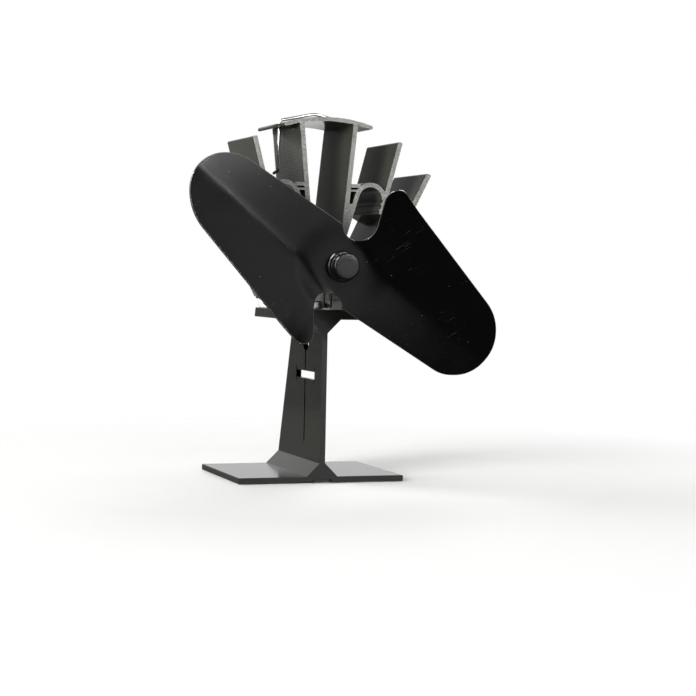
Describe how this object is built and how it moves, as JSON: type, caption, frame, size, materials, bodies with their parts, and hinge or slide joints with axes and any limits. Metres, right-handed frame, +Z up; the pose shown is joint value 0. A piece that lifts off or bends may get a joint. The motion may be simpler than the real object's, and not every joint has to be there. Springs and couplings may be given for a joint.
{
  "type": "heat-powered stove fan",
  "caption": "Heat-powered fan for a stove top: T-shaped stand, generator under a finned heat sink, small motor, two-lobed bent blade and a lifting wire handle.",
  "frame": {"origin": "middle of the bounding box's bottom, on the plane that the foot stands on", "axes": "+Z up, the blade faces -Y, X runs across the blade, and the stand and heat sink are symmetrical about X = 0"},
  "size_m": [0.205, 0.1362, 0.2406],
  "materials": {
    "black_anodised": "black anodised, satin, with bright cut faces",
    "blade_black": "satin black coated",
    "steel_wire": "bright drawn wire",
    "knob_plastic": "dark moulded, satin",
    "ceramic": "pale fired alumina",
    "graphite": "graphite foil",
    "silicone": "sealed with white silicone",
    "bimetal": "rolled strip",
    "zinc_steel": "zinc plated",
    "fibre": "moulded fibre",
    "rubber": "moulded rubber",
    "can_steel": "nickel plated",
    "magnet": "sintered ferrite",
    "bronze": "sintered bronze",
    "lamination": "stacked steel laminations",
    "copper": "enamelled copper wire",
    "brass": "tinned",
    "end_cap": "moulded nylon",
    "brown_insulation": "insulated lead",
    "black_insulation": "insulated lead"
  },
  "bodies": {
    "frame": {"stand": "black_anodised", "bimetal_rivet": "zinc_steel", "lower_thermal_pad": "graphite", "upper_thermal_pad": "graphite", "generator_hot_plate": "ceramic", "generator_cold_plate": "ceramic", "generator_core": "silicone", "clamp_screw_left": "zinc_steel", "clamp_screw_right": "zinc_steel", "spring_washer_left": "zinc_steel", "spring_washer_right": "zinc_steel", "insulating_bush_left": "fibre", "insulating_bush_right": "fibre", "heat_sink": "black_anodised", "motor_can": "can_steel", "motor_end_cap": "end_cap", "front_bearing": "bronze", "rear_bearing": "bronze", "magnet_upper": "magnet", "magnet_lower": "magnet", "brush_left": "brass", "brush_right": "brass", "motor_terminal_left": "brass", "motor_terminal_right": "brass", "motor_sleeve": "rubber", "lead_positive": "brown_insulation", "lead_negative": "black_insulation"},
    "rotor": {"motor_shaft": "can_steel", "armature_core": "lamination", "armature_winding_1": "copper", "armature_winding_2": "copper", "armature_winding_3": "copper", "commutator": "copper", "blade_hub": "knob_plastic", "fan_blade": "blade_black", "hub_knob": "knob_plastic"},
    "handle": {"carry_handle": "steel_wire"},
    "strip": {"bimetal_strip": "bimetal"}
  },
  "joints": [
    {"name": "rotor_spin", "type": "hinge", "parent": "frame", "child": "rotor", "pos_m": [0, 0, 0.14], "axis": [0, -1, 0], "continuous": true},
    {"name": "handle_lift", "type": "slide", "parent": "frame", "child": "handle", "axis": [0, 0, 1], "range_m": [0, 0.026]},
    {"name": "strip_bend", "type": "hinge", "parent": "frame", "child": "strip", "pos_m": [0, 0.0352, 0.0012], "axis": [1, 0, 0], "range_deg": [0, 3], "stiffness_Nm_per_rad": 5}
  ]
}
